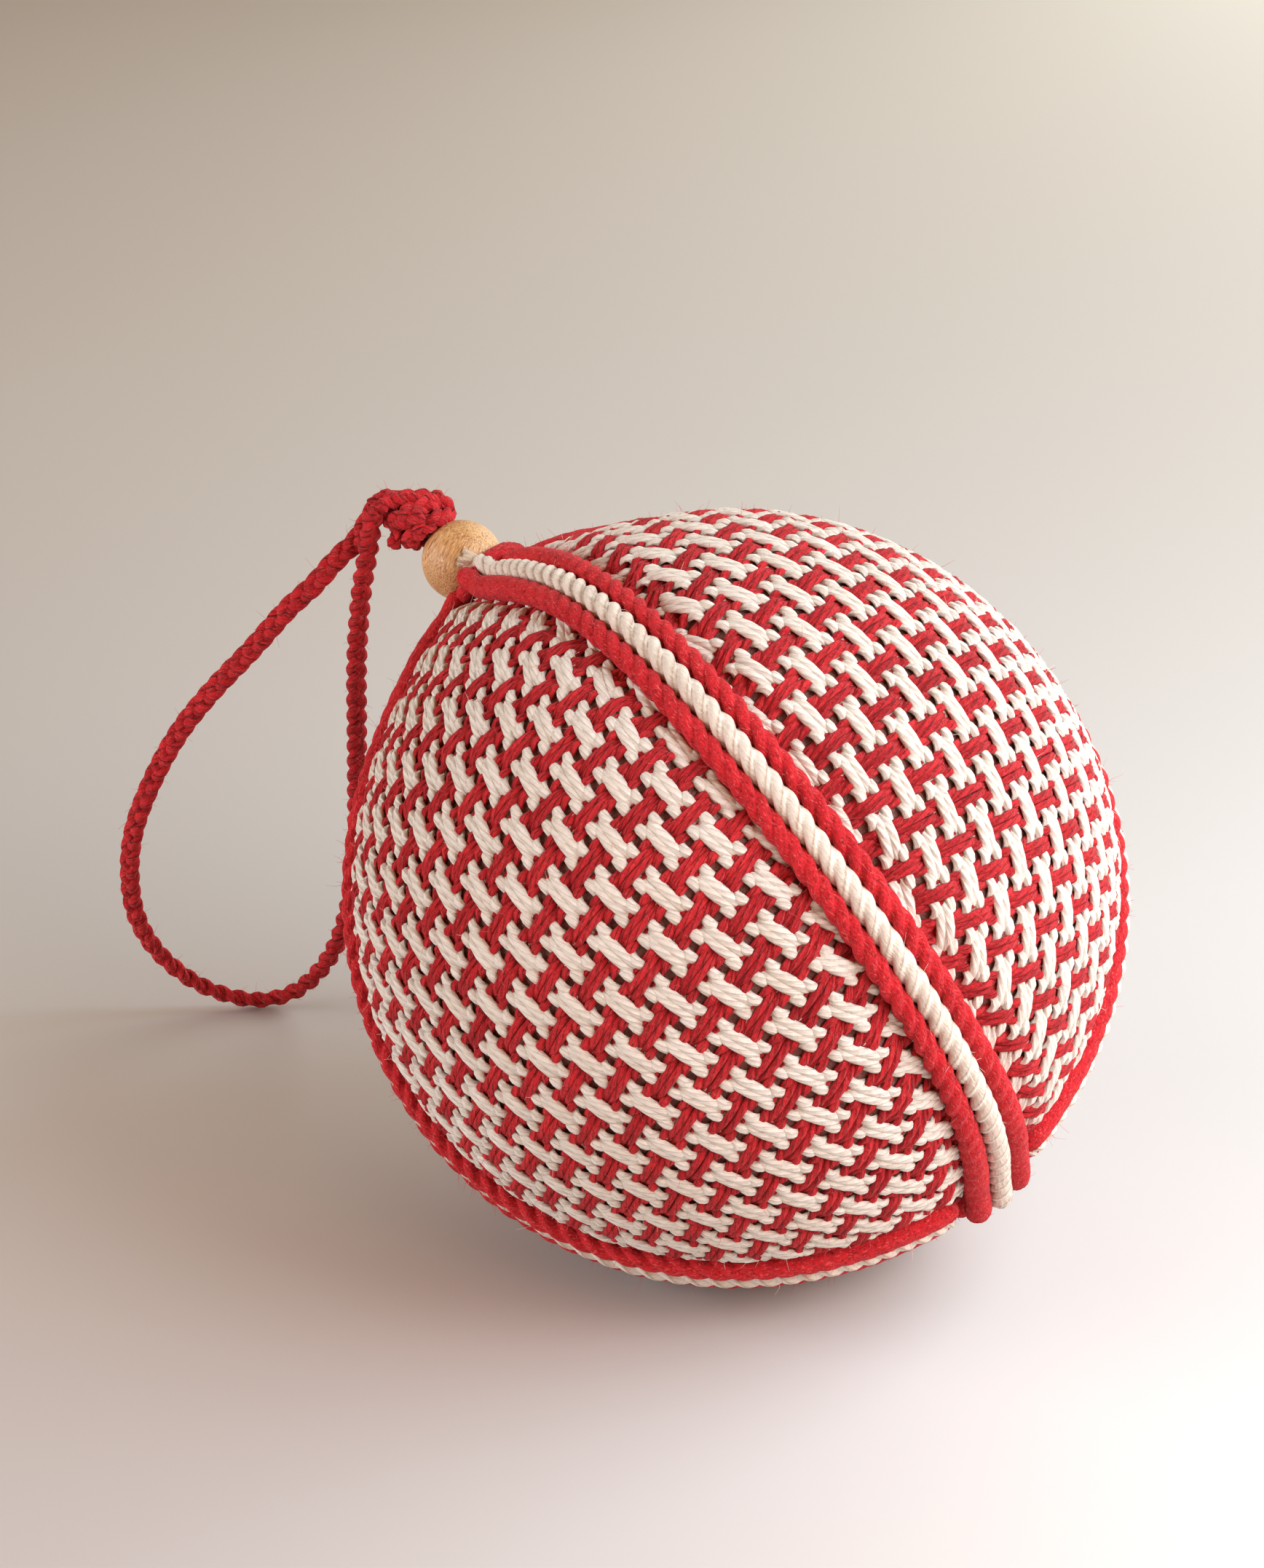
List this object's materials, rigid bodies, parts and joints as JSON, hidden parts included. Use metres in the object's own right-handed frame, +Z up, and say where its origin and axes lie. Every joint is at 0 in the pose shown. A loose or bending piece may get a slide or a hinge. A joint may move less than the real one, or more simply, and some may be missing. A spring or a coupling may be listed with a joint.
{
  "type": "woven fabric ball ornament with wooden bead and hanging loop",
  "caption": "Stuffed round ornament of thick hand-woven cloth in panels, with twisted cords on its seams, a wooden bead and a plaited hanging loop. It lies on its side.",
  "frame": {"origin": "middle of the small flat spot that the ball rests on", "axes": "+Z up; -Z is the outward normal of the rest spot; the ball's pole axis rises to the upper left and back, towards -X, +Y and +Z"},
  "size_m": [0.1357, 0.11, 0.0969],
  "materials": {
    "woven_cloth": "thick hand-woven cloth, cream warp and red weft, matt",
    "red_cord": "fuzzy red cord, matt",
    "cream_cord": "undyed twisted cord, matt",
    "bead_wood": "bare turned wood, satin"
  },
  "bodies": {
    "root": {"panel_right": "woven_cloth", "panel_back": "woven_cloth", "panel_under": "woven_cloth", "panel_front": "woven_cloth", "trim_front_red_a": "red_cord", "trim_front_cream": "cream_cord", "trim_front_red_b": "red_cord", "trim_right_red_a": "red_cord", "trim_right_cream": "cream_cord", "trim_right_red_b": "red_cord", "trim_back_red_a": "red_cord", "trim_back_cream": "cream_cord", "trim_back_red_b": "red_cord", "trim_left_red_a": "red_cord", "trim_left_cream": "cream_cord", "trim_left_red_b": "red_cord", "bead": "bead_wood", "knot": "red_cord", "hanging_loop": "red_cord"}
  },
  "joints": []
}
